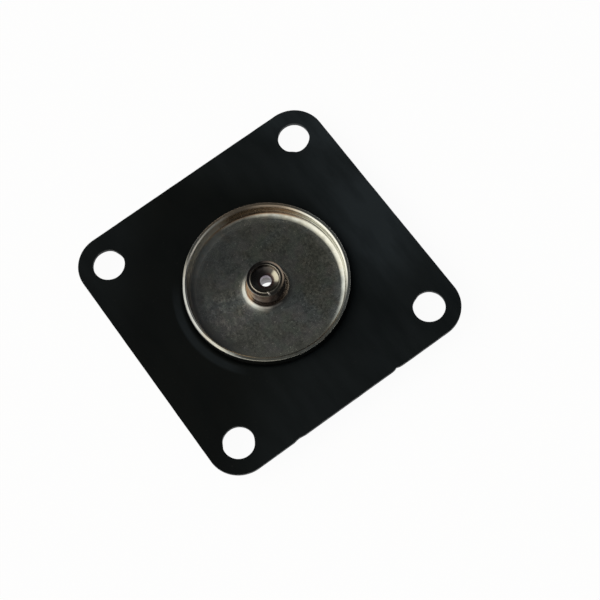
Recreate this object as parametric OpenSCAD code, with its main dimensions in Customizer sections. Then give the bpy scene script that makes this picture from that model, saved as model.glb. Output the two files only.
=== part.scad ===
// Valve diaphragm: a square rubber sheet with a dished centre, clamped between a pressed
// steel spring cup above and a backing washer below by one hollow rivet.
// Millimetres. The axis is Z, the spring cup faces +Z, and z = 0 is the flat of the rivet's head.

/* [Rubber sheet] */
// Side of the square sheet
sheet_side = 73; // [68:0.5:100]
// Thickness of the rubber
sheet_t = 1.1; // [0.8:0.1:2]
// Radius of the sheet's four corners
sheet_corner_r = 8.3; // [4:0.1:14]
// Depth of the moulded dish that the spring cup sits in
dish_depth = 2.2; // [1:0.1:3]
// Tight side of the bend between the dish and the flat flange
dish_bend_r = 0.4; // [0.2:0.1:2]

/* [Bolt holes] */
// Distance between neighbouring bolt holes, both ways
bolt_pitch = 57; // [54:0.5:60]
// Diameter of each bolt hole
bolt_hole_d = 8; // [4:0.1:9]

/* [Spring cup] */
// Inside diameter of the cup's wall
cup_bore_d = 40; // [34:0.5:44]
// Thickness of the cup's steel
cup_t = 0.8; // [0.5:0.1:1.2]
// Inside depth of the cup, from its rim to its floor
cup_depth = 4.5; // [4:0.1:8]
// Inside radius between the cup's floor and wall
cup_corner_r = 2.4; // [1:0.1:3.6]
// Rounding along both edges of the cup's rim, as a share of the steel's thickness
rim_round_share = 0.4; // [0.1:0.05:0.5]

/* [Drawn collar] */
// Height of the collar above the cup's floor
collar_h = 5.7; // [4.6:0.1:8]
// Thickness of the collar's wall, which drawing has thinned
collar_t = 0.5; // [0.3:0.05:0.8]
// Radius of the flare between the collar and the cup's floor
collar_flare_r = 2.1; // [0.6:0.1:2.6]

/* [Hollow rivet] */
// Diameter of the rivet's shank
shank_d = 7.8; // [7:0.1:10]
// Diameter of the rivet's flat head
rivet_head_d = 13; // [11:0.5:18]
// Thickness of the rivet's flat head
rivet_head_t = 1; // [0.6:0.1:2]
// How far the clinched lip stands out over the shank
clinch_out = 0.75; // [0.5:0.05:1]
// Thickness of the clinched lip
clinch_t = 0.6; // [0.4:0.05:1]
// Rounding of the clinched lip's outer edge
lip_round_r = 0.15; // [0.05:0.05:0.25]
// Depth of the hollow in the top of the clinched lip
lip_dish = 0.2; // [0.1:0.05:0.3]
// Width of the bead that the clinching tool leaves round the mouth
bead_w = 0.3; // [0.2:0.05:0.4]
// Wall left round the mouth at the clinched end
mouth_wall = 0.35; // [0.25:0.05:0.6]
// Depth of the straight mouth above the bowl
mouth_depth = 1.15; // [0.5:0.05:1.6]
// Width of the step between the mouth and the bowl
mouth_step = 0.2; // [0.1:0.05:0.4]
// Depth of the round bowl that leads from the mouth to the orifice
bowl_h = 0.7; // [0.3:0.05:1.2]
// Diameter of the orifice
orifice_d = 2.86; // [1:0.02:4]
// Length of the orifice
orifice_len = 1.5; // [0.5:0.1:3]
// Diameter of the wider passage below the orifice
passage_d = 5.2; // [4:0.1:6]
// Rounding round the rivet's head
head_round_r = 0.3; // [0.1:0.05:0.5]

/* [Backing washer] */
// Outside diameter of the washer
washer_d = 24; // [18:0.5:30]
// Thickness of the washer
washer_t = 1.2; // [0.8:0.1:2]
// Rounding of the washer's lower edge
washer_round_r = 0.4; // [0.1:0.1:0.7]

/* [Fits] */
// Gap all round between the cup and the side of the dish
cup_gap = 0.1; // [0.05:0.05:0.3]
// Gap all round between the rivet's shank and each piece that it passes through
shank_gap = 0.05; // [0.02:0.01:0.2]

/* [Hidden] */

// Steps along a full turn, and along each arc of a profile
turn_steps = 144;
arc_steps = 12;
// Overlap that carries a cutter past the face that it cuts
cut = 1;

// Heights of the stack, from the rivet's head up
washer_z = rivet_head_t;
dish_z = washer_z + washer_t;
cup_z = dish_z + sheet_t;
floor_z = cup_z + cup_t;
flange_top_z = cup_z + dish_depth;
flange_z = flange_top_z - sheet_t;
rim_z = floor_z + cup_depth;
collar_top_z = floor_z + collar_h;
clinch_top_z = collar_top_z + clinch_t;

// Radii of the cup and of its drawn collar
cup_ir = cup_bore_d / 2;
cup_or = cup_ir + cup_t;
rim_round_r = rim_round_share * cup_t;
shank_r = shank_d / 2;
hole_r = shank_r + shank_gap;
collar_or = hole_r + collar_t;

// The dish's side is an arc under the cup's corner and a bend up to the flange. Both faces of
// the sheet share the two centres, so the rubber keeps its thickness.
dish_arc_r = cup_corner_r + cup_t;
dish_arc_x = cup_ir - cup_corner_r + cup_gap;
bend_r = dish_bend_r + sheet_t;
dish_slope = acos(1 - dish_depth / (dish_arc_r + bend_r));
bend_x = dish_arc_x + (dish_arc_r + bend_r) * sin(dish_slope);

// Points along an arc about centre c, from angle a0 to angle a1
function arc(c, r, a0, a1) =
    [for (i = [0:arc_steps]) let (a = a0 + (a1 - a0) * i / arc_steps) c + r * [cos(a), sin(a)]];

// The same, with the radius running from r0 to r1, for steel that thins along a bend
function spiral(c, r0, r1, a0, a1) =
    [for (i = [0:arc_steps])
        let (s = i / arc_steps, a = a0 + (a1 - a0) * s, r = r0 + (r1 - r0) * s)
        c + r * [cos(a), sin(a)]];

// One face of the dish's side, grown by t from the upper face towards the lower one
function dish_side(t) = concat(
    arc([dish_arc_x, cup_z + dish_arc_r], dish_arc_r + t, -90, -90 + dish_slope),
    arc([bend_x, flange_top_z - bend_r], bend_r - t, 90 + dish_slope, 90));

module turned(points) {
    rotate_extrude($fn = turn_steps) polygon(points);
}

module rounded_square(side, r) {
    square([side - 2 * r, side], center = true);
    square([side, side - 2 * r], center = true);
    for (x = [-1, 1], y = [-1, 1])
        translate([x, y] * (side / 2 - r)) circle(r, $fn = turn_steps);
}

module bolt_holes() {
    for (x = [-1, 1], y = [-1, 1])
        translate([x * bolt_pitch / 2, y * bolt_pitch / 2, flange_z - cut])
            cylinder(d = bolt_hole_d, h = sheet_t + 2 * cut, $fn = turn_steps);
}

// The dish's lower face, filled up to the middle of the flange
module dish_body() {
    flange_mid_z = flange_z + sheet_t / 2;
    turned(concat([[0, dish_z]], dish_side(sheet_t), [[bend_x, flange_mid_z], [0, flange_mid_z]]));
}

// The room above the dish's upper face
module dish_room() {
    turned(concat([[0, cup_z]], dish_side(0),
        [[bend_x, flange_top_z + cut], [0, flange_top_z + cut]]));
}

module rubber_sheet() {
    color([0.06, 0.065, 0.07])
    difference() {
        union() {
            translate([0, 0, flange_z])
                linear_extrude(sheet_t) rounded_square(sheet_side, sheet_corner_r);
            dish_body();
        }
        dish_room();
        bolt_holes();
        translate([0, 0, dish_z - cut])
            cylinder(r = hole_r, h = sheet_t + 2 * cut, $fn = turn_steps);
    }
}

module spring_cup() {
    wall_c = [cup_ir - cup_corner_r, floor_z + cup_corner_r];
    flare_c = [collar_or + collar_flare_r, floor_z + collar_flare_r];
    color([0.62, 0.6, 0.5])
    turned(concat(
        [[collar_or, collar_top_z]],
        arc(flare_c, collar_flare_r, 180, 270),
        arc(wall_c, cup_corner_r, 270, 360),
        arc([cup_ir + rim_round_r, rim_z - rim_round_r], rim_round_r, 180, 90),
        arc([cup_or - rim_round_r, rim_z - rim_round_r], rim_round_r, 90, 0),
        arc(wall_c, cup_corner_r + cup_t, 0, -90),
        spiral(flare_c, collar_flare_r + cup_t, collar_flare_r + collar_t, 270, 180),
        [[hole_r, collar_top_z]]));
}

module hollow_rivet() {
    head_r = rivet_head_d / 2;
    lip_r = shank_r + clinch_out;
    lip_low_z = clinch_top_z - lip_dish;
    mouth_r = shank_r - mouth_wall;
    bead_r = bead_w / 2;
    mouth_z = clinch_top_z - mouth_depth;
    throat_z = mouth_z - bowl_h;
    throat_r = orifice_d / 2;
    passage_r = passage_d / 2;
    // The bowl is an arc that runs level into the orifice
    bowl_w = mouth_r - mouth_step - throat_r;
    bowl_r = (bowl_w ^ 2 + bowl_h ^ 2) / (2 * bowl_h);
    bowl_slope = asin(bowl_w / bowl_r);
    color([0.66, 0.62, 0.52])
    turned(concat(
        [[passage_r, 0]],
        arc([head_r - head_round_r, head_round_r], head_round_r, -90, 0),
        [[head_r, rivet_head_t], [shank_r, rivet_head_t], [shank_r, collar_top_z]],
        [[lip_r, collar_top_z]],
        arc([lip_r - lip_round_r, clinch_top_z - lip_round_r], lip_round_r, 0, 90),
        arc([mouth_r + bead_r, lip_low_z], bead_r, 0, 180),
        [[mouth_r, mouth_z]],
        arc([throat_r, throat_z + bowl_r], bowl_r, -90 + bowl_slope, -90),
        [[throat_r, throat_z - orifice_len]],
        [[passage_r, throat_z - orifice_len]]));
}

module backing_washer() {
    washer_r = washer_d / 2;
    color([0.7, 0.7, 0.68])
    turned(concat(
        [[hole_r, washer_z]],
        arc([washer_r - washer_round_r, washer_z + washer_round_r], washer_round_r, -90, 0),
        [[washer_r, dish_z], [hole_r, dish_z]]));
}

rubber_sheet();
spring_cup();
hollow_rivet();
backing_washer();
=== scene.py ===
"""The looks of a valve diaphragm: a square rubber sheet with a riveted steel spring cup.

Sizes are in millimetres in the CAD frame and become metres as each mesh is made. The axis is Z,
the cup faces +Z, and z = 0 is the flat of the rivet's head. Azimuths are in degrees from +X.
"""

import math

import bmesh
import bpy
from mathutils import Matrix, Vector, noise
from mathutils.geometry import delaunay_2d_cdt


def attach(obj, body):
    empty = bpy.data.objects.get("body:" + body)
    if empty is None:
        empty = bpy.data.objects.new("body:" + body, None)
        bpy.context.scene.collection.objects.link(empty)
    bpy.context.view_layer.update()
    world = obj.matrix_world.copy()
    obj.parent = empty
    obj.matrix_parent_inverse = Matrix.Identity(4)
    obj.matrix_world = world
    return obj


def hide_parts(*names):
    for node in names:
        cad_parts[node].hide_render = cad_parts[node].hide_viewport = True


MM = 0.001

# Sizes shared with the CAD source
SHEET_SIDE, SHEET_T, SHEET_CORNER = 73.0, 1.1, 8.3
BOLT_PITCH, BOLT_HOLE_R = 57.0, 4.0
DISH_DEPTH, DISH_BEND = 2.2, 0.4
CUP_GAP = 0.1
CUP_R, CUP_T, CUP_DEPTH, CUP_CORNER = 20.0, 0.8, 4.5, 2.4
COLLAR_H, COLLAR_T, COLLAR_FLARE = 5.7, 0.5, 2.1
SHANK_R, HOLE_R = 3.9, 3.95
HEAD_R, HEAD_T, HEAD_ROUND = 6.5, 1.0, 0.3
CLINCH_OUT, CLINCH_T, LIP_DISH, BEAD_W = 0.75, 0.6, 0.2, 0.3
MOUTH_WALL, MOUTH_STEP, MOUTH_DEPTH, BOWL_H = 0.35, 0.2, 1.15, 0.7
ORIFICE_R, ORIFICE_LEN, PASSAGE_R = 1.43, 1.5, 2.6
WASHER_R, WASHER_T, WASHER_ROUND = 12.0, 1.2, 0.4

# Heights of the stack, and radii that follow from the sizes above
WASHER_Z = HEAD_T
DISH_Z = WASHER_Z + WASHER_T
CUP_Z = DISH_Z + SHEET_T
FLOOR_Z = CUP_Z + CUP_T
FLANGE_TOP = CUP_Z + DISH_DEPTH
FLANGE_Z = FLANGE_TOP - SHEET_T
RIM_Z = FLOOR_Z + CUP_DEPTH
COLLAR_TOP = FLOOR_Z + COLLAR_H
CLINCH_TOP = COLLAR_TOP + CLINCH_T
COLLAR_R = HOLE_R + COLLAR_T
MOUTH_R = SHANK_R - MOUTH_WALL

# The sheet: where its dish ends and the flat flange starts, the bevels along its cut edges and how
# deep the edge is hollowed between them, and how far its surface, its edge and its holes wander
DISH_OUTER = 23.5
EDGE_BEVEL = 0.07
EDGE_HOLLOW = 0.03
SHEET_WAVE, SHEET_SAG = 0.10, 0.05
EDGE_WAVE = 0.05
HOLE_WAVE = 0.06
# Small tears in the sheet's edge: x, y, width and depth
NICKS = [(36.5, 12.9, 0.9, 0.35), (36.5, -16.2, 1.3, 0.22)]
# Stray bites of the punch: the signs of the hole's x and y, azimuth, half width in degrees, depth
PUNCH_MARKS = [(1, 1, 200, 14, 0.16), (1, -1, 60, 20, 0.14), (-1, 1, 320, 12, 0.2),
               (-1, -1, 110, 18, 0.15), (1, -1, 240, 10, 0.12)]

# The cup's inside corner, its rim's outer rounding, and the chamfer inside the rim
WALL_CORNER = 2.0
RIM_ROUND = 0.14
CHAMFER_R, CHAMFER_W, CHAMFER_H = 19.70, 0.42, 0.36
# The collar widens towards this radius at the floor, and flares into the floor
FOOT_R, FOOT_FLARE = 5.05, 1.6
# How far the floor rises towards the collar and towards the wall
FOOT_RISE, EDGE_RISE = 0.16, 0.16
# The rim as the shears left it: on one side its outer edge slopes down and the rim shifts in, on
# another it is pinched in, and on a third a burr stands. A side is an azimuth and a half width.
RIM_SLOPE, RIM_SHIFT, SLOPE_SIDE = 0.45, 0.1, (260, 56)
RIM_PINCH, PINCH_SIDE = 0.28, (315, 52)
BURR, BURR_SIDE = 0.5, (203, 32)
# The height over which the rim's unevenness dies out
RIM_FADE = 1.2
# How far the wall is out of round, and how far the wall, the rim and the floor ripple
OVAL, WALL_RIPPLE, RIM_RIPPLE, FLOOR_RIPPLE = 0.025, 0.03, 0.03, 0.025

# The clinched lip: its outer rounding, the width of its slope, how far it ripples, how far it is
# rolled to one side, and how far it sags
LIP_ROUND, LIP_SLOPE_W = 0.1, 0.35
LIP_RIPPLE, LIP_ROLL, LIP_SAG = 0.03, 0.08, 0.02
# The ridge that the clinching tool pushed up across the lip. It runs along X, from RIDGE_X on.
RIDGE_X, RIDGE_Y, RIDGE_W, RIDGE_H = 3.0, -1.45, 0.22, 0.14

# How finely the meshes are cut
DISH_SEGMENTS, CUP_SEGMENTS, HUB_SEGMENTS = 288, 384, 240
SHEET_CORNER_STEPS, SHEET_SIDE_STEPS, HOLE_STEPS = 21, 70, 72
GRID = 1.6

# The photo's camera, as fitted to the sheet's outline and holes: its place, the azimuth and
# elevation that it looks from, its roll and its lens
EYE = (126.28, -47.27, 364.95)
EYE_AZIMUTH, EYE_ELEVATION, EYE_ROLL = -23.559, 70.272, -12.838
LENS = 93.25
# The table lies just below the rivet's head
TABLE_SIZE, TABLE_GAP = 12.0, 0.03

# Soft boxes round the object. Each has its azimuth and half width; the elevations between which it
# comes up, and between which it fades; its strength; its slant, which is how far its lower edge
# climbs over one half width towards larger azimuths; and its colour. Angles are in degrees.
SOFT_BOXES = [
    (243, 44, 2, 10, 42, 94, 1.05, 12, (1.0, 0.97, 0.88)),
    (307, 24, 16, 36, 38, 86, 0.62, 0, (1.0, 0.97, 0.90)),
    (105, 46, -5, 1, 6, 16, 0.25, 0, (1.0, 0.96, 0.90)),
    (354, 20, 12, 28, 44, 66, 0.10, 0, (1.0, 0.97, 0.92)),
]
# How sharply a soft box ends to each side
BOX_FALL, BOX_POWER = 0.7, 4.0
ROOM = (0.030, 0.033, 0.034)
# A faint light over the table: its direction, the power that narrows it, its strength and colour
CEILING = ((-0.31, 0.14, 0.94), 3.0, 0.022, (1.0, 1.0, 0.96))

# Steel: the share of light that its grain scatters, the roughness of that share, and how much of
# its brightness the dull spots keep
HAZE_SHARE, HAZE_ROUGH = 0.1, 0.5
DULL = 0.7
# Roughness of the cup's wall on its dull side, and how far the collar's painted light and shade covers
# the steel
DULL_ROUGH = 0.32
COLLAR_PAINT_SHARE = 0.85

# Colours
RUBBER_DARK, RUBBER_PALE = (0.0034, 0.0056, 0.0060, 1), (0.0052, 0.0076, 0.0072, 1)
# The rubber's dust, then its painted bluish sheen
RUBBER_DUST, RUBBER_PAINTED_SHEEN = (0.02, 0.02, 0.019, 1), (0.040, 0.052, 0.062, 1)
CUP_TINTS = ((0.74, 0.78, 0.76, 1), (0.80, 0.79, 0.69, 1), (0.82, 0.74, 0.64, 1))
RIVET_TINTS = ((0.25, 0.24, 0.23, 1), (0.28, 0.24, 0.19, 1), (0.24, 0.15, 0.12, 1))
WASHER_TINTS = ((0.48, 0.50, 0.50, 1), (0.52, 0.52, 0.48, 1), (0.46, 0.44, 0.40, 1))
SPECK = (0.95, 0.93, 0.86, 1)
LILAC_PATCH, GREEN_BLOT = (0.80, 0.74, 0.75, 1), (0.68, 0.77, 0.66, 1)
# Painted shade for the cup's floor, and for the cup's side towards azimuth 232
FLOOR_SHADE, SIDE_PAINTED_SHADE = (0.75, 0.75, 0.72, 1), (0.42, 0.40, 0.42, 1)
# The wall's painted highlight, its painted reflection of warm surroundings, and its painted shade
WALL_PAINTED_HIGHLIGHT, WALL_WARM_REFLECTION, WALL_PAINTED_SHADE = (0.98, 0.98, 0.92, 1), (0.86, 0.66, 0.48, 1), (0.26, 0.25, 0.25, 1)
# Painted shade on the cup's outer wall
WALL_OUTSIDE_SHADE = (0.12, 0.12, 0.12, 1)
# Painted shade on the rim's chamfer, and a painted glint on its burr
CHAMFER_PAINTED_SHADE, BURR_PAINTED_GLINT = (0.24, 0.20, 0.16, 1), (1.0, 0.98, 0.92, 1)
# Painted shade on the collar's foot
FLARE_PAINTED_SHADE = (0.40, 0.38, 0.36, 1)
# Painted shade: dark red streaks on the collar's shaded side
COLLAR_SHADE_STREAKS = ((0.10, 0.052, 0.048, 1), (0.14, 0.085, 0.068, 1))
# Painted light: gold streaks on the collar's lit side
COLLAR_LIGHT_STREAKS = ((0.94, 0.52, 0.28, 1), (1.0, 0.89, 0.64, 1))
# The rivet head's plain tint, and painted shade inside its passage
HEAD_TINT, PASSAGE_PAINTED_SHADE = (0.58, 0.57, 0.50, 1), (0.14, 0.13, 0.14, 1)
# Painted shade and a painted highlight in the bowl, and the dark red at its centre
BOWL_PAINTED_SHADE, BOWL_PAINTED_HIGHLIGHT, BOWL_RED = (0.11, 0.10, 0.09, 1), (0.70, 0.66, 0.53, 1), (0.16, 0.09, 0.09, 1)
# A painted highlight on the bead, the lip's brown, and painted shade on the lip
BEAD_PAINTED_HIGHLIGHT, LIP_BROWN, LIP_PAINTED_SHADE = (0.86, 0.80, 0.68, 1), (0.22, 0.17, 0.14, 1), (0.09, 0.08, 0.08, 1)
# A painted glint on the ridge, and the orifice's lilac
RIDGE_PAINTED_GLINT, ORIFICE_LILAC = (0.95, 0.88, 0.84, 1), (0.20, 0.165, 0.21, 1)
TABLE_BOUNCE, TABLE_SHADED = (0.8, 0.8, 0.8, 1), (0.12, 0.12, 0.12, 1)
TABLE_GLOW = 0.95

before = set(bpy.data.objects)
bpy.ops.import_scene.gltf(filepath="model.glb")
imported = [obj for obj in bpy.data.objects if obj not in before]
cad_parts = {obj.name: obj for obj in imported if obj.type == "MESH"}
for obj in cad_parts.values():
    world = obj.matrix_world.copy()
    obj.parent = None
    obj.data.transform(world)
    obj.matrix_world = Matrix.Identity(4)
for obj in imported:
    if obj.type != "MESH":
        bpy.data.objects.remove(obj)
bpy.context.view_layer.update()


# Meshes

def arc(cx, cz, r, a0, a1, steps=16):
    """Points along an arc in the (radius, height) plane, from angle a0 to a1 in degrees."""
    angles = [math.radians(a0 + (a1 - a0) * i / steps) for i in range(steps + 1)]
    return [(cx + r * math.cos(a), cz + r * math.sin(a)) for a in angles]


def rounded(corners, steps=10):
    """A closed outline from (radius, height, rounding) corners."""
    outline = []
    for i, (x, z, r) in enumerate(corners):
        if r <= 0:
            outline.append((x, z))
            continue
        here = Vector((x, z))
        before = (Vector(corners[i - 1][:2]) - here).normalized()
        after = (Vector(corners[(i + 1) % len(corners)][:2]) - here).normalized()
        half = before.angle(after) / 2
        middle = here + (before + after).normalized() * (r / math.sin(half))
        start = here + before * (r / math.tan(half)) - middle
        turn = start.angle_signed(here + after * (r / math.tan(half)) - middle)
        count = max(2, round(steps * abs(turn) / (math.pi / 2)))
        for k in range(count + 1):
            a = -turn * k / count
            c, s = math.cos(a), math.sin(a)
            outline.append((middle.x + start.x * c - start.y * s,
                            middle.y + start.x * s + start.y * c))
    return outline


def fine(outline, longest, closed=True, z_from=None):
    """The same outline with every long run split, so that it can carry small waves."""
    out = []
    count = len(outline)
    for i in range(count if closed else count - 1):
        (x0, z0), (x1, z1) = outline[i], outline[(i + 1) % count]
        parts = max(1, math.ceil(math.hypot(x1 - x0, z1 - z0) / longest))
        if z_from is not None and min(z0, z1) < z_from:
            parts = 1
        out += [(x0 + (x1 - x0) * k / parts, z0 + (z1 - z0) * k / parts) for k in range(parts)]
    return out if closed else out + [outline[-1]]


def bridge(bm, low, high):
    """Quads between two closed loops with as many vertices each."""
    for k in range(len(low)):
        j = (k + 1) % len(low)
        bm.faces.new((low[k], low[j], high[j], high[k]))


def turned(bm, outline, segments, wave=None, closed=True):
    """Revolves an outline about Z and returns its rings, one for each of the outline's points."""
    rings = []
    for x, z in outline:
        ring = []
        for k in range(segments):
            a = 2 * math.pi * k / segments
            dr, dz = wave(x, z, a) if wave else (0.0, 0.0)
            ring.append(bm.verts.new(((x + dr) * math.cos(a), (x + dr) * math.sin(a), z + dz)))
        rings.append(ring)
    for low, high in zip(rings, rings[1:] + rings[:1] if closed else rings[1:]):
        bridge(bm, low, high)
    return rings


def finish_mesh(bm, name, material, node, sharp=35):
    """Turns a bmesh in millimetres into a smooth-shaded piece that stands for a CAD node."""
    bmesh.ops.recalc_face_normals(bm, faces=bm.faces)
    bmesh.ops.scale(bm, vec=(MM, MM, MM), verts=bm.verts)
    mesh = bpy.data.meshes.new(name)
    bm.to_mesh(mesh)
    bm.free()
    for polygon in mesh.polygons:
        polygon.use_smooth = True
    mesh.set_sharp_from_angle(angle=math.radians(sharp))
    mesh.materials.append(material)
    piece = bpy.data.objects.new(name, mesh)
    bpy.context.scene.collection.objects.link(piece)
    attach(piece, "root")
    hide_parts(node)
    return piece


def ramp(value, low, high):
    """0 up to low, 1 from high on, and straight between them."""
    return min(1.0, max(0.0, (value - low) / (high - low)))


def hump(a, centre, half):
    """A smooth rise and fall along the turn: 1 at centre degrees, 0 beyond half to each side."""
    d = abs((math.degrees(a) - centre + 180) % 360 - 180) / half
    return 0.5 + 0.5 * math.cos(math.pi * d) if d < 1 else 0.0


def ripple(a, z, seed, per_turn):
    """Smooth noise that closes on itself round a full turn."""
    return noise.noise((math.cos(a) * per_turn + seed, math.sin(a) * per_turn - seed, z + seed))


# Rubber sheet

def sheet_wave(x, y):
    """How far the flat rubber stands off its plane: it is never quite flat."""
    fade = ramp(math.hypot(x, y), DISH_OUTER, DISH_OUTER + 6.0)
    return SHEET_WAVE * fade * noise.noise((x / 19.0, y / 19.0, 4.2)) - SHEET_SAG * fade


def sheet_outline():
    """Points and outward normals round the sheet, with its cut edge a little uneven."""
    r, flat = SHEET_CORNER, SHEET_SIDE / 2 - SHEET_CORNER
    corners = []
    for quarter, (sx, sy) in enumerate(((1, 1), (-1, 1), (-1, -1), (1, -1))):
        corners.append(arc(sx * flat, sy * flat, r, 90 * quarter, 90 * quarter + 90, SHEET_CORNER_STEPS))
    points = []
    for corner, after in zip(corners, corners[1:] + corners[:1]):
        (ax, ay), (bx, by) = corner[-1], after[0]
        shares = [k / SHEET_SIDE_STEPS for k in range(1, SHEET_SIDE_STEPS)]
        points += corner + [(ax + (bx - ax) * s, ay + (by - ay) * s) for s in shares]
    out = []
    for x, y in points:
        nearest = Vector((max(-flat, min(flat, x)), max(-flat, min(flat, y))))
        n = (Vector((x, y)) - nearest).normalized()
        cut = EDGE_WAVE * (0.5 + 0.5 * noise.noise((x / 3.0, y / 3.0, 1.7)))
        cut += EDGE_WAVE * (0.5 + 0.5 * noise.noise((x / 24.0, y / 24.0, 8.8)))
        for nick_x, nick_y, width, depth in NICKS:
            d = math.hypot(x - nick_x, y - nick_y) / width
            cut += depth * max(0.0, 1 - d * d)
        out.append((Vector((x, y)) - n * cut, n))
    return out


def hole_outline(sx, sy):
    """Points and normals round one punched bolt hole. The normals point into the hole."""
    centre = Vector((sx, sy)) * (BOLT_PITCH / 2)
    out = []
    for k in range(HOLE_STEPS):
        a = 2 * math.pi * k / HOLE_STEPS
        n = Vector((math.cos(a), math.sin(a)))
        r = BOLT_HOLE_R + HOLE_WAVE * ripple(a, 0, 3.1 * sx + 7.7 * sy, 1.6)
        for hole_x, hole_y, at, width, depth in PUNCH_MARKS:
            if (hole_x, hole_y) == (sx, sy):
                d = (math.degrees(a) - at + 180) % 360 - 180
                r -= depth * math.exp(-(d / width) ** 2)
        out.append((centre + n * r, -n))
    return out


def clear_of_edges(x, y, margin):
    """True where a point of the flat rubber is further than margin from all its edges."""
    flat = SHEET_SIDE / 2 - SHEET_CORNER
    qx, qy = abs(x) - flat, abs(y) - flat
    edge = math.hypot(max(qx, 0), max(qy, 0)) + min(max(qx, qy), 0) - SHEET_CORNER
    hole = math.hypot(abs(x) - BOLT_PITCH / 2, abs(y) - BOLT_PITCH / 2) - BOLT_HOLE_R
    return edge < -margin and hole > margin and math.hypot(x, y) > DISH_OUTER + margin


def encloses(loop, x, y):
    """True where a closed loop of points goes round (x, y)."""
    within = False
    for (x0, y0), (x1, y1) in zip(loop, loop[1:] + loop[:1]):
        if (y0 > y) != (y1 > y) and x < x0 + (y - y0) * (x1 - x0) / (y1 - y0):
            within = not within
    return within


def flat_triangles(rims, dish_rim):
    """Triangles over the flat rubber: their points, their faces, and the point numbers of each rim.

    The first rim is the sheet's outline and the others are its holes. The last numbers returned
    are those of the dish's rim."""
    points, loops = [], []
    for rim in rims + [dish_rim]:
        loops.append(list(range(len(points), len(points) + len(rim))))
        points += rim
    edges = [pair for ids in loops for pair in zip(ids, ids[1:] + ids[:1])]
    steps = int(SHEET_SIDE / 2 / GRID)
    for i in range(-steps, steps + 1):
        for j in range(-steps, steps + 1):
            x = i * GRID + (0.5 * GRID if j % 2 else 0.0)
            y = j * GRID
            if clear_of_edges(x, y, 0.7 * GRID):
                points.append(Vector((x, y)))
    coords, _, faces, origins, _, _ = delaunay_2d_cdt(points, edges, [], 1, 1e-5)
    new_id = {old: new for new, olds in enumerate(origins) for old in olds}
    outline, *holes = rims
    kept = []
    for face in faces:
        x, y = sum((coords[i] for i in face), Vector((0, 0))) / 3
        in_hole = any(encloses(hole, x, y) for hole in holes)
        if math.hypot(x, y) > DISH_OUTER and encloses(outline, x, y) and not in_hole:
            kept.append(face)
    return coords, kept, [[new_id[k] for k in ids] for ids in loops]


def dish_outline():
    """The dish's section: along its upper face in to the hub, and out along its lower face."""
    arc_r, bend_r = CUP_CORNER + CUP_T, DISH_BEND + SHEET_T
    arc_x = CUP_R - CUP_CORNER + CUP_GAP
    slope = math.degrees(math.acos(1 - DISH_DEPTH / (arc_r + bend_r)))
    bend_x = arc_x + (arc_r + bend_r) * math.sin(math.radians(slope))

    def face(t):
        low = arc(arc_x, CUP_Z + arc_r, arc_r + t, -90, -90 + slope)
        bend = arc(bend_x, FLANGE_TOP - bend_r, bend_r - t, 90 + slope, 90)
        return [(HOLE_R, CUP_Z - t)] + low + bend[1:] + [(DISH_OUTER, FLANGE_TOP - t)]

    return fine(list(reversed(face(0))) + face(SHEET_T), 1.2, closed=False)


def rubber_sheet(material):
    """The whole sheet: the turned dish, and the flat flange with its holes and cut edges."""
    bm = bmesh.new()
    rings = turned(bm, dish_outline(), DISH_SEGMENTS, closed=False)
    loops = [sheet_outline()] + [hole_outline(sx, sy) for sx in (1, -1) for sy in (1, -1)]
    rims = [[p - n * EDGE_BEVEL for p, n in loop] for loop in loops]
    coords, faces, ids = flat_triangles(rims, [Vector(v.co.xy) for v in rings[0]])

    def flat_face(z, ring):
        shared = dict(zip(ids[-1], ring))
        verts = [shared.get(i) or bm.verts.new((c.x, c.y, z + sheet_wave(c.x, c.y)))
                 for i, c in enumerate(coords)]
        for face in faces:
            bm.faces.new([verts[i] for i in face])
        return [[verts[i] for i in rim_ids] for rim_ids in ids[:-1]]

    def edge_ring(loop, z, inset):
        return [bm.verts.new((*(p - n * inset), z + sheet_wave(p.x, p.y))) for p, n in loop]

    upper = flat_face(FLANGE_TOP, rings[0])
    lower = flat_face(FLANGE_Z, rings[-1])
    for loop, top, low in zip(loops, upper, lower):
        walls = [top,
                 edge_ring(loop, FLANGE_TOP - EDGE_BEVEL, 0.0),
                 edge_ring(loop, (FLANGE_TOP + FLANGE_Z) / 2, EDGE_HOLLOW),
                 edge_ring(loop, FLANGE_Z + EDGE_BEVEL, 0.0),
                 low]
        for a, b in zip(walls, walls[1:]):
            bridge(bm, a, b)
    loose = [v for v in bm.verts if not v.link_faces]
    bmesh.ops.delete(bm, geom=loose, context="VERTS")
    return finish_mesh(bm, "rubber_diaphragm", material, "rubber_sheet", sharp=30)


# Steel pieces

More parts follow.
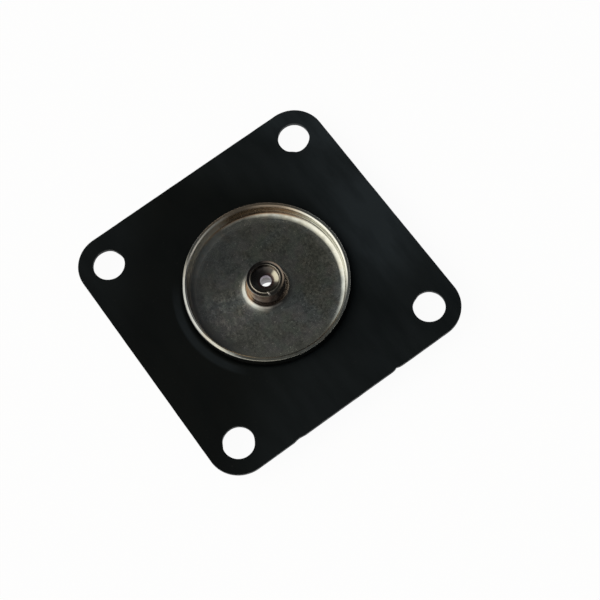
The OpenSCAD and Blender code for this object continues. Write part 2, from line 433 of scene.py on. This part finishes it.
def cup_wave(x, z, a):
    """Drawn steel is a little out of round, and the shears left its rim sloping and burred."""
    wall = ramp(x, 15.0, 19.0) * ramp(z, CUP_Z, CUP_Z + 2.0)
    dr = wall * (OVAL * math.cos(2 * a + 0.7) + WALL_RIPPLE * ripple(a, z / 6.0, 5.1, 1.4))
    dz = 0.0
    if z > RIM_Z - RIM_FADE:
        up = (z - RIM_Z + RIM_FADE) / RIM_FADE
        sloping = min(1.0, 1.6 * hump(a, *SLOPE_SIDE))
        dz += up * RIM_RIPPLE * (ripple(a, 0, 2.4, 2.2) - 1.0)
        dz -= up * sloping * RIM_SLOPE * ramp(x, CUP_R, CUP_R + CUP_T) ** 1.3
        dr -= up * (sloping * RIM_SHIFT + hump(a, *PINCH_SIDE) * RIM_PINCH)
        inner = 1 - ramp(x, CHAMFER_R, CHAMFER_R + CHAMFER_W)
        dz += min(1.0, up * RIM_FADE / (RIM_FADE - CHAMFER_H)) * hump(a, *BURR_SIDE) * BURR * inner
    if 7.5 < x < 17.5 and z < FLOOR_Z + 0.6:
        dz += FLOOR_RIPPLE * noise.noise((x * math.cos(a) / 7.0, x * math.sin(a) / 7.0, 6.6))
    if x < 19.5 and FLOOR_Z - 0.1 < z < FLOOR_Z + 1.5:
        dz += EDGE_RISE * ramp(x, 13.5, 18.0) ** 2
    if x < 8.8 and FLOOR_Z - 0.1 < z < FLOOR_Z + 3.0:
        dz += FOOT_RISE * ramp(8.8 - x, 0.0, 2.7) ** 2 * (1 - (z - FLOOR_Z) / 3.0)
    return dr, dz


def spring_cup(material):
    """The pressed cup with its drawn collar, a chamfered rim and a floor that rises at its edges."""
    bm = bmesh.new()
    r_out = CUP_R + CUP_T
    corners = [
        (COLLAR_R, COLLAR_TOP, 0.0),
        (FOOT_R, FLOOR_Z, FOOT_FLARE),
        (CUP_R, FLOOR_Z, WALL_CORNER),
        (CUP_R, RIM_Z - 1.0, 0.6),
        (CHAMFER_R, RIM_Z - CHAMFER_H, 0.1),
        (CHAMFER_R + CHAMFER_W, RIM_Z, 0.06),
        (r_out, RIM_Z, RIM_ROUND),
        (r_out, CUP_Z, CUP_CORNER + CUP_T),
        (HOLE_R, CUP_Z, COLLAR_FLARE + COLLAR_T),
        (HOLE_R, COLLAR_TOP, 0.0),
    ]
    outline = fine(fine(rounded(corners, steps=20), 0.8), 0.12, z_from=RIM_Z - 0.5)
    turned(bm, outline, CUP_SEGMENTS, cup_wave)
    return finish_mesh(bm, "steel_spring_cup", material, "spring_cup")


def rivet_wave(x, z, a):
    """The clinched lip is rolled over unevenly, with a ridge across it."""
    lip = ramp(z, COLLAR_TOP - 0.3, COLLAR_TOP + 0.3)
    out = ramp(x, MOUTH_R, MOUTH_R + 0.8)
    dr = lip * (LIP_RIPPLE * ripple(a, 0, 9.3, 1.5) + LIP_ROLL * out * math.cos(a - 1.0))
    dz = -lip * LIP_SAG * (0.5 + 0.5 * ripple(a, 0, 3.9, 1.4) + out)
    along, beyond = x * math.cos(a), abs(x * math.sin(a) - RIDGE_Y) / RIDGE_W
    if z > CLINCH_TOP - 0.3 and along > RIDGE_X and beyond < 1:
        ridge = RIDGE_H * (1 - beyond) * ramp(along, RIDGE_X, RIDGE_X + 0.2)
        dz = min(dz + ridge, CLINCH_TOP - z)
    return dr, dz


def hollow_rivet(material):
    """The rivet: its flat head, its shank, the clinched lip, and the bowl over the orifice."""
    bm = bmesh.new()
    lip_r = SHANK_R + CLINCH_OUT
    slope_r = lip_r - LIP_ROUND
    lip_low = CLINCH_TOP - LIP_DISH
    bead_r, bead_top = MOUTH_R + BEAD_W, lip_low + BEAD_W / 2
    mouth_z = CLINCH_TOP - MOUTH_DEPTH
    throat_z = mouth_z - BOWL_H
    low_z = throat_z - ORIFICE_LEN
    bowl_w = MOUTH_R - MOUTH_STEP - ORIFICE_R
    bowl_r = (bowl_w ** 2 + BOWL_H ** 2) / (2 * BOWL_H)
    bowl_slope = math.degrees(math.asin(bowl_w / bowl_r))
    bowl = arc(ORIFICE_R, throat_z + bowl_r, bowl_r, -90 + bowl_slope, -90, steps=12)[1:-1]
    corners = [
        (PASSAGE_R, 0.0, 0.2),
        (HEAD_R, 0.0, HEAD_ROUND),
        (HEAD_R, HEAD_T, 0.08),
        (SHANK_R, HEAD_T, 0.0),
        (SHANK_R, COLLAR_TOP, 0.0),
        (lip_r, COLLAR_TOP, 0.0),
        (lip_r, CLINCH_TOP, LIP_ROUND),
        (slope_r, CLINCH_TOP, 0.06),
        (slope_r - LIP_SLOPE_W, lip_low, 0.06),
        (bead_r, lip_low, 0.05),
        (bead_r, bead_top, 0.14),
        (MOUTH_R, bead_top, 0.14),
        (MOUTH_R, mouth_z, 0.06),
        (MOUTH_R - MOUTH_STEP, mouth_z, 0.05),
        *((x, z, 0.0) for x, z in bowl),
        (ORIFICE_R, throat_z, 0.06),
        (ORIFICE_R, low_z, 0.1),
        (PASSAGE_R, low_z, 0.1),
    ]
    turned(bm, fine(rounded(corners), 0.4), HUB_SEGMENTS, rivet_wave)
    return finish_mesh(bm, "clinched_rivet", material, "hollow_rivet")


def backing_washer(material):
    """The plain washer under the sheet."""
    bm = bmesh.new()
    corners = [(HOLE_R, WASHER_Z, 0.1), (WASHER_R, WASHER_Z, WASHER_ROUND),
               (WASHER_R, DISH_Z, 0.06), (HOLE_R, DISH_Z, 0.0)]
    turned(bm, fine(rounded(corners), 0.8), HUB_SEGMENTS)
    return finish_mesh(bm, "steel_washer", material, "backing_washer")


# Materials

class Tree:
    """A short way to write shader nodes."""

    def __init__(self, owner):
        owner.use_nodes = True
        self.tree = owner.node_tree
        self.tree.nodes.clear()

    def new(self, kind, **settings):
        node = self.tree.nodes.new(kind)
        for key, value in settings.items():
            setattr(node, key, value)
        return node

    def put(self, value, socket):
        """Links a socket to another one, or sets its value."""
        if isinstance(value, bpy.types.NodeSocket):
            self.tree.links.new(value, socket)
        else:
            socket.default_value = value

    def math(self, operation, a, b=0.0, c=0.0):
        node = self.new("ShaderNodeMath", operation=operation)
        for value, socket in zip((a, b, c), node.inputs):
            self.put(value, socket)
        return node.outputs[0]

    def times(self, *values):
        """The product of several masks."""
        total = values[0]
        for value in values[1:]:
            total = self.math("MULTIPLY", total, value)
        return total

    def vector(self, operation, a, b=(0, 0, 0), scale=None):
        node = self.new("ShaderNodeVectorMath", operation=operation)
        self.put(a, node.inputs[0])
        self.put(b, node.inputs[1])
        if scale is not None:
            self.put(scale, node.inputs["Scale"])
        return node.outputs["Value"] if operation in ("DOT_PRODUCT", "LENGTH") else node.outputs[0]

    def height(self, vector):
        """The Z of a vector."""
        node = self.new("ShaderNodeSeparateXYZ")
        self.put(vector, node.inputs[0])
        return node.outputs["Z"]

    def noise(self, vector, scale, detail=3.0, rough=0.55, distortion=0.0):
        node = self.new("ShaderNodeTexNoise")
        self.put(vector, node.inputs["Vector"])
        for key, value in (("Scale", scale), ("Detail", detail), ("Roughness", rough),
                           ("Distortion", distortion)):
            self.put(value, node.inputs[key])
        return node.outputs["Fac"]

    def spread(self, value, low, high, to_low=0.0, to_high=1.0):
        """A smooth step from to_low, where the value is low, to to_high, where it is high."""
        node = self.new("ShaderNodeMapRange", interpolation_type="SMOOTHSTEP")
        for key, v in (("Value", value), ("From Min", low), ("From Max", high),
                       ("To Min", to_low), ("To Max", to_high)):
            self.put(v, node.inputs[key])
        return node.outputs["Result"]

    def fall(self, value, low, high):
        """A smooth step from 1 down to 0."""
        return self.spread(value, low, high, 1.0, 0.0)

    def mix(self, share, a, b, blend="MIX"):
        node = self.new("ShaderNodeMix", data_type="RGBA", blend_type=blend)
        self.put(share, node.inputs["Factor"])
        self.put(a, node.inputs[6])
        self.put(b, node.inputs[7])
        return node.outputs[2]

    def bump(self, height, distance, strength, normal=None):
        node = self.new("ShaderNodeBump")
        self.put(height, node.inputs["Height"])
        self.put(distance, node.inputs["Distance"])
        self.put(strength, node.inputs["Strength"])
        if normal is not None:
            self.put(normal, node.inputs["Normal"])
        return node.outputs["Normal"]

    def principled(self, **sockets):
        shader = self.new("ShaderNodeBsdfPrincipled")
        for key, value in sockets.items():
            self.put(value, shader.inputs[key.replace("_", " ")])
        return shader.outputs[0]

    def mix_shader(self, share, a, b):
        node = self.new("ShaderNodeMixShader")
        for value, socket in zip((share, a, b), node.inputs):
            self.put(value, socket)
        return node.outputs[0]

    def finish(self, shader, kind="ShaderNodeOutputMaterial"):
        self.put(shader, self.new(kind).inputs["Surface"])


class Skin(Tree):
    """Shader nodes with the shaded point's place: in metres for noise, in millimetres for masks."""

    def __init__(self, material):
        super().__init__(material)
        self.point = self.new("ShaderNodeTexCoord").outputs["Object"]
        self.mm = self.vector("SCALE", self.point, scale=1 / MM)
        self.radius = self.vector("LENGTH", self.vector("MULTIPLY", self.mm, (1.0, 1.0, 0.0)))
        self.z = self.height(self.mm)

    def along(self, x, y):
        """How far the point lies along a direction in the sheet's plane."""
        return self.vector("DOT_PRODUCT", self.mm, (x, y, 0.0))

    def beside(self, degrees, low, high):
        """1 on the side of the axis that faces the given azimuth, 0 well away from it."""
        a = math.radians(degrees)
        return self.spread(self.math("DIVIDE", self.along(math.cos(a), math.sin(a)), self.radius),
                           low, high)

    def ring(self, in_low, in_high, out_low, out_high):
        """1 between two radii, with a soft edge at each."""
        return self.times(self.spread(self.radius, in_low, in_high),
                          self.fall(self.radius, out_low, out_high))


def painted_rubber_sheen(t):
    """Where the rubber is painted paler, as painted sheen: on the side towards azimuth 45, in a spot
    past the cup's rim, at two corners, and as painted reflected light along a stretch of the bend
    beside the dish."""
    spot = t.vector("LENGTH", t.vector("SUBTRACT", t.mm, (4.0, 29.0, 6.0)))
    bend = t.times(t.ring(21.4, 22.2, 23.2, 24.0), t.beside(274, 0.72, 0.95))
    parts = [
        t.spread(t.along(0.7, 0.7), -6.0, 14.0, 0.0, 0.3),
        t.spread(spot, 3.0, 19.0, 0.7, 0.0),
        t.spread(t.along(-0.64, 0.77), 18.0, 32.0, 0.0, 0.3),
        t.spread(t.along(-0.64, 0.77), 36.0, 44.0, 0.0, 0.45),
        t.spread(t.along(-0.7, -0.7), 28.0, 42.0, 0.0, 0.2),
        t.times(bend, 0.45),
    ]
    total = parts[0]
    for part in parts[1:]:
        total = t.math("ADD", total, part)
    return total


def rubber_material():
    """Black rubber with a painted bluish sheen, some dust and a faint grain."""
    material = bpy.data.materials.new("black_rubber")
    t = Skin(material)
    cloud = t.noise(t.point, 60.0, 3.0)
    grain = t.noise(t.point, 2600.0, 2.0)
    smear = t.noise(t.vector("MULTIPLY", t.point, (0.4, 1.6, 1.0)), 180.0, 4.0)
    dust = t.spread(t.noise(t.point, 1500.0, 1.0, 0.4), 0.74, 0.80)
    colour = t.mix(t.spread(cloud, 0.35, 0.65), RUBBER_DARK, RUBBER_PALE)
    colour = t.mix(dust, colour, RUBBER_DUST)
    painted_sheen = t.times(painted_rubber_sheen(t), t.spread(smear, 0.3, 0.7, 0.8, 1.2))
    # Painted sheen: the rubber is painted paler and bluer where it would reflect light
    colour = t.mix(painted_sheen, colour, RUBBER_PAINTED_SHEEN)
    rough = t.spread(smear, 0.3, 0.7, 0.42, 0.58)
    normal = t.bump(grain, 0.00002, 0.35)
    normal = t.bump(t.noise(t.point, 320.0, 2.0), 0.00006, 0.25, normal)
    t.finish(t.principled(Base_Color=colour, Roughness=rough, Normal=normal, Specular_IOR_Level=0.19))
    return material


def steel_tint(t, colours, speck):
    """Plated steel with clouds of tint, dull spots and bright specks."""
    cool, olive, warm = colours
    tint = t.mix(t.spread(t.noise(t.point, 95.0, 3.0, 0.5, 0.6), 0.40, 0.60), cool, olive)
    tint = t.mix(t.spread(t.noise(t.point, 330.0, 4.0, 0.6, 0.3), 0.52, 0.72, 0.0, 0.6), tint, warm)
    dull = t.spread(t.noise(t.point, 420.0, 5.0, 0.7), 0.30, 0.62, DULL, 1.0)
    tint = t.mix(1.0, tint, dull, "MULTIPLY")
    specks = t.spread(t.noise(t.point, 2300.0, 2.0, 0.5), 0.66, 0.74)
    return t.mix(t.times(specks, speck), tint, SPECK)


def steel_material(name, colours, rough, rings=0.0, speck=0.5, stain_and_painted_light=None):
    """Plated steel, with fine scratches and the rings left by its tool.

    A stain_and_painted_light function changes the tint, the roughness, the share of scattered light
    and its roughness; its tints hold stains and also painted light and shade."""
    material = bpy.data.materials.new(name)
    t = Skin(material)
    tint = steel_tint(t, colours, speck)
    roughness = t.spread(t.noise(t.point, 260.0, 4.0, 0.6), 0.35, 0.65, *rough)
    grain = t.spread(t.noise(t.point, 1300.0, 4.0, 0.7), 0.30, 0.70, 0.3, 1.7)
    dots = t.spread(t.noise(t.point, 1700.0, 1.0, 0.5), 0.70, 0.78, 0.0, speck)
    haze = t.math("MULTIPLY_ADD", grain, HAZE_SHARE, dots)
    coarse = HAZE_ROUGH
    if stain_and_painted_light:
        tint, roughness, haze, coarse = stain_and_painted_light(t, tint, roughness, haze)
    streak = t.noise(t.vector("MULTIPLY", t.point, (3.0, 0.25, 1.0)), 900.0, 3.0)
    normal = t.bump(t.noise(t.point, 1600.0, 3.0), 0.00001, 0.5)
    normal = t.bump(streak, 0.000006, 0.35, normal)
    if rings:
        turning = t.new("ShaderNodeCombineXYZ")
        t.put(t.times(t.radius, 7.0), turning.inputs[0])
        t.put(t.times(t.z, 7.0), turning.inputs[2])
        normal = t.bump(t.noise(turning.outputs[0], 1.0, 2.0, 0.6), 0.00003, rings, normal)
    clear = t.principled(Base_Color=tint, Metallic=1.0, Roughness=roughness, Normal=normal)
    hazy = t.principled(Base_Color=tint, Metallic=1.0, Roughness=coarse, Normal=normal)
    t.finish(t.mix_shader(haze, clear, hazy))
    return material


def floor_dust_and_shade(t, tint, haze):
    """The cup's floor: dust, lilac and green patches, painted shade on the side towards azimuth
    135, and a scuff. Towards azimuth 232 painted shade darkens the floor and the wall."""
    floor = t.ring(6.0, 7.5, 16.5, 18.0)
    coarse_dust = t.spread(t.noise(t.point, 1500.0, 3.0, 0.75), 0.34, 0.66, 0.62, 1.18)
    fine_dust = t.spread(t.noise(t.point, 3600.0, 2.0, 0.6), 0.35, 0.65, -0.14, 0.14)
    dust = t.math("ADD", coarse_dust, fine_dust)
    tint = t.mix(floor, tint, t.mix(1.0, tint, dust, "MULTIPLY"))
    patch = t.spread(t.noise(t.point, 210.0, 2.0, 0.4, 0.3), 0.50, 0.60)
    tint = t.mix(t.times(floor, patch, 0.4), tint, LILAC_PATCH)
    elsewhere = t.vector("ADD", t.point, (0.1, 0.0, 0.0))
    blot = t.spread(t.noise(elsewhere, 260.0, 2.0, 0.4), 0.52, 0.62)
    tint = t.mix(t.times(floor, blot, 0.4), tint, GREEN_BLOT)
    # Painted shade on the floor's side towards azimuth 135
    shade = t.times(floor, t.beside(135, -0.6, 0.3))
    tint = t.mix(shade, tint, t.mix(1.0, tint, FLOOR_SHADE, "MULTIPLY"))
    # Painted shade over the floor and the wall towards azimuth 232
    dim = t.times(t.beside(232, 0.0, 1.0), t.spread(t.radius, 8.0, 16.0), 0.35)
    tint = t.mix(dim, tint, SIDE_PAINTED_SHADE)
    scuff = t.spread(t.noise(t.point, 700.0, 4.0, 0.7), 0.40, 0.66)
    haze = t.math("ADD", haze, t.times(floor, t.beside(270, 0.80, 0.98), scuff, 0.3))
    return tint, haze


def wall_painted_light(t, tint, roughness, haze):
    """The cup's wall: a painted highlight and less roughness towards azimuth 75, a painted
    reflection of warm surroundings round 160, duller round 222, painted shade round 262, and
    painted shade outside. Its chamfer has painted shade and its burr a painted glint."""
    below_rim = t.fall(t.z, RIM_Z - 0.7, RIM_Z - 0.25)
    # Painted highlight on the wall towards azimuth 75, which is also made smoother there
    polish_and_highlight = t.times(t.beside(75, 0.60, 0.85), t.spread(t.radius, 18.6, 19.6), 0.9)
    tint = t.mix(polish_and_highlight, tint, WALL_PAINTED_HIGHLIGHT)
    polish = t.math("SUBTRACT", 1.0, t.times(polish_and_highlight, 0.75))
    roughness, haze = t.times(roughness, polish), t.times(haze, polish)
    # Painted reflection of warm surroundings on the wall round azimuth 160
    brown = t.times(t.beside(160, 0.66, 0.95), t.spread(t.radius, 19.0, 19.7), 0.85)
    tint = t.mix(brown, tint, WALL_WARM_REFLECTION)
    # Painted shade on the chamfer towards azimuth 152
    chamfer = t.times(t.beside(152, 0.86, 0.97), t.fall(t.radius, 20.0, 20.3),
                      t.spread(t.z, RIM_Z - 0.45, RIM_Z - 0.35), 0.85)
    tint = t.mix(chamfer, tint, CHAMFER_PAINTED_SHADE)
    # Painted shade on the wall round azimuth 262
    dark = t.times(t.beside(262, 0.70, 0.95), below_rim, t.spread(t.radius, 15.0, 19.0), 0.8)
    tint = t.mix(dark, tint, WALL_PAINTED_SHADE)
    # Painted shade on the outer wall below the rim
    outside = t.times(t.spread(t.radius, 20.4, 20.6), t.fall(t.z, RIM_Z - 0.3, RIM_Z - 0.1), 0.8)
    tint = t.mix(outside, tint, WALL_OUTSIDE_SHADE)
    # A painted glint on the burr
    burr = t.times(t.beside(203, 0.84, 0.97), t.ring(19.6, 19.8, 20.1, 20.3))
    tint = t.mix(burr, tint, BURR_PAINTED_GLINT)
    haze = t.math("MULTIPLY_ADD", burr, 0.7, haze)
    dull = t.times(t.beside(222, 0.60, 0.85), below_rim, t.spread(t.radius, 17.4, 18.0))
    roughness = t.math("MULTIPLY_ADD", dull, t.math("SUBTRACT", DULL_ROUGH, roughness), roughness)
    return tint, roughness, haze


def collar_painted_light(t, tint, haze):
    """The drawn collar: streaks painted gold as painted light on its lit side, and dark red as
    painted shade round the rest, with painted shade on its foot there."""
    # Painted shade on the foot of the collar away from the light
    unlit_foot = t.math("SUBTRACT", 1.0, t.beside(262, 0.60, 0.90))
    tint = t.mix(t.times(t.fall(t.radius, 5.7, 6.7), unlit_foot, 0.8), tint, FLARE_PAINTED_SHADE)
    collar = t.fall(t.radius, 5.0, 5.8)
    # Painted light and shade: the collar's streaks are gold where lit and dark red elsewhere
    lit = t.beside(248, 0.74, 0.95)
    streaks = t.noise(t.vector("MULTIPLY", t.point, (0.7, 0.7, 4.0)), 700.0, 3.0)
    shade_streaks = t.mix(t.spread(streaks, 0.40, 0.60), *COLLAR_SHADE_STREAKS)
    light_streaks = t.mix(t.spread(streaks, 0.40, 0.62), *COLLAR_LIGHT_STREAKS)
    tint = t.mix(t.times(collar, COLLAR_PAINT_SHARE), tint, t.mix(lit, shade_streaks, light_streaks))
    haze = t.math("ADD", haze, t.times(collar, t.math("MULTIPLY_ADD", lit, 0.7, 0.08)))
    return tint, haze, t.math("MULTIPLY_ADD", collar, 0.3, HAZE_ROUGH)


def cup_stains_and_painted_light(t, tint, roughness, haze):
    """All the stains and the painted light and shade of the spring cup, from its floor out to the
    wall and in to the collar.
    """
    tint, haze = floor_dust_and_shade(t, tint, haze)
    tint, roughness, haze = wall_painted_light(t, tint, roughness, haze)
    tint, haze, coarse = collar_painted_light(t, tint, haze)
    return tint, roughness, haze, coarse


def rivet_stains_and_painted_light(t, tint, roughness, haze):
    """The bowl has a painted highlight towards azimuth 76 with painted shade round it, the bead a
    painted highlight, the lip is brown with painted shade towards azimuth 190 and a painted glint
    on its ridge, the passage has painted shade, and the orifice is lilac. The head below is plain."""
    top = t.spread(t.z, 1.5, 3.0)
    under = t.times(t.math("SUBTRACT", 1.0, top), t.spread(t.radius, 2.6, 2.7))
    tint = t.mix(under, tint, HEAD_TINT)
    roughness = t.math("MULTIPLY_ADD", under, 0.22, roughness)
    # Painted shade inside the passage
    passage = t.times(t.fall(t.z, 5.5, 6.5), t.fall(t.radius, 2.6, 2.7))
    tint = t.mix(passage, tint, PASSAGE_PAINTED_SHADE)
    bowl = t.times(top, t.fall(t.radius, 3.20, 3.32))
    haze = t.math("MULTIPLY_ADD", bowl, 0.2, haze)
    # Painted shade round the bowl's painted highlight, which faces azimuth 76
    tint = t.mix(t.times(bowl, t.beside(75, 0.0, 0.6)), tint, BOWL_PAINTED_SHADE)
    tint = t.mix(t.times(bowl, t.beside(76, 0.80, 0.95)), tint, BOWL_PAINTED_HIGHLIGHT)
    tint = t.mix(t.times(top, t.fall(t.radius, 1.9, 2.3), 0.85), tint, BOWL_RED)
    # A painted highlight round the bead
    tint = t.mix(t.times(top, t.ring(3.50, 3.58, 3.84, 3.92), 0.8), tint, BEAD_PAINTED_HIGHLIGHT)
    lip = t.times(top, t.spread(t.radius, 4.25, 4.40), t.beside(80, 0.0, 0.8), 0.85)
    tint = t.mix(lip, tint, LIP_BROWN)
    # Painted shade on the lip towards azimuth 190
    tint = t.mix(t.times(top, t.beside(190, 0.30, 0.85), 0.85), tint, LIP_PAINTED_SHADE)
    # A painted glint along the ridge
    across = t.math("ABSOLUTE", t.math("SUBTRACT", t.along(0.0, 1.0), RIDGE_Y))
    ridge = t.times(top, t.fall(across, 0.08, RIDGE_W),
                    t.spread(t.along(1.0, 0.0), RIDGE_X, RIDGE_X + 0.2),
                    t.fall(t.radius, 4.55, 4.62))
    tint = t.mix(t.times(ridge, 0.9), tint, RIDGE_PAINTED_GLINT)
    haze = t.math("MULTIPLY_ADD", ridge, 0.6, haze)
    tint = t.mix(t.times(t.fall(t.radius, 1.50, 1.58), 0.9), tint, ORIFICE_LILAC)
    return tint, roughness, haze, HAZE_ROUGH


def floor_material():
    """White as the camera, metal and glass see it, and darker in the object's shadow.

    From below it can be seen through."""
    material = bpy.data.materials.new("white_table")
    t = Tree(material)
    rays = t.new("ShaderNodeLightPath").outputs
    seen = t.math("MAXIMUM", rays["Is Camera Ray"],
                  t.math("MAXIMUM", rays["Is Glossy Ray"], rays["Is Transmission Ray"]))
    plain = t.new("ShaderNodeBsdfDiffuse")
    plain.inputs["Color"].default_value = TABLE_BOUNCE
    shade = t.new("ShaderNodeBsdfDiffuse")
    shade.inputs["Color"].default_value = TABLE_SHADED
    glow = t.new("ShaderNodeEmission")
    glow.inputs["Strength"].default_value = TABLE_GLOW
    white = t.new("ShaderNodeAddShader")
    t.put(shade.outputs[0], white.inputs[0])
    t.put(glow.outputs[0], white.inputs[1])
    top = t.mix_shader(seen, plain.outputs[0], white.outputs[0])
    below = t.new("ShaderNodeNewGeometry").outputs["Backfacing"]
    clear = t.new("ShaderNodeBsdfTransparent")
    t.finish(t.mix_shader(below, top, clear.outputs[0]))
    return material


# Light, table and camera

def soft_box(t, direction, elevation, box):
    """The light of one soft box, as seen in a direction."""
    azimuth, half, low, full, fade, end, strength, slant, colour = box
    a = math.radians(azimuth)
    ahead = t.vector("DOT_PRODUCT", direction, (math.cos(a), math.sin(a), 0))
    aside = t.vector("DOT_PRODUCT", direction, (-math.sin(a), math.cos(a), 0))
    turn = t.math("DIVIDE", t.math("ARCTAN2", aside, ahead), math.radians(half))
    past = t.math("POWER", t.math("ABSOLUTE", turn), BOX_POWER)
    width = t.math("EXPONENT", t.times(past, -BOX_FALL))
    lifted = t.times(t.math("MAXIMUM", turn, 0.0), slant)
    rise = t.spread(t.math("SUBTRACT", elevation, lifted), low, full)
    glow = t.times(width, rise, t.fall(elevation, fade, end), strength)
    return t.vector("SCALE", colour, scale=glow)


def studio():
    """The world is a dim room with a few soft boxes round the table."""
    world = bpy.data.worlds.new("studio")
    bpy.context.scene.world = world
    t = Tree(world)
    direction = t.new("ShaderNodeTexCoord").outputs["Generated"]
    elevation = t.math("DEGREES", t.math("ARCSINE", t.height(direction)))
    toward, power, strength, colour = CEILING
    near = t.math("MAXIMUM", t.vector("DOT_PRODUCT", direction, toward), 0.0)
    over = t.times(t.math("POWER", near, power), strength)
    total = t.vector("ADD", ROOM, t.vector("SCALE", colour, scale=over))
    for box in SOFT_BOXES:
        total = t.vector("ADD", total, soft_box(t, direction, elevation, box))
    back = t.new("ShaderNodeBackground")
    t.put(total, back.inputs["Color"])
    t.finish(back.outputs[0], "ShaderNodeOutputWorld")


def table():
    """The white table that the part lies on."""
    bpy.ops.mesh.primitive_plane_add(size=TABLE_SIZE, location=(0, 0, -TABLE_GAP * MM))
    floor = bpy.context.object
    floor.name = "table_top"
    floor.data.materials.append(floor_material())


def camera():
    """The photograph's own view: from nearly overhead, rolled a little."""
    data = bpy.data.cameras.new("camera")
    data.lens = LENS
    data.sensor_width = 36.0
    data.clip_start, data.clip_end = 0.01, 20.0
    eye = bpy.data.objects.new("camera", data)
    bpy.context.scene.collection.objects.link(eye)
    azimuth, elevation = math.radians(EYE_AZIMUTH), math.radians(EYE_ELEVATION)
    back = Vector((math.cos(elevation) * math.cos(azimuth),
                   math.cos(elevation) * math.sin(azimuth), math.sin(elevation)))
    level = Vector((-math.sin(azimuth), math.cos(azimuth), 0.0))
    pose = Matrix((level, back.cross(level), back)).transposed().to_4x4()
    pose = pose @ Matrix.Rotation(math.radians(EYE_ROLL), 4, "Z")
    pose.translation = Vector(EYE) * MM
    eye.matrix_world = pose
    bpy.context.scene.camera = eye


# Scene

camera()
table()
studio()
bpy.context.scene.view_settings.view_transform = "Standard"

rubber_sheet(rubber_material())
spring_cup(steel_material("passivated_cup_steel", CUP_TINTS, rough=(0.07, 0.15), rings=0.2,
                          stain_and_painted_light=cup_stains_and_painted_light))
hollow_rivet(steel_material("straw_rivet_steel", RIVET_TINTS, rough=(0.05, 0.10), rings=0.5,
                            speck=0.2, stain_and_painted_light=rivet_stains_and_painted_light))
backing_washer(steel_material("zinc_washer_steel", WASHER_TINTS, rough=(0.28, 0.46)))
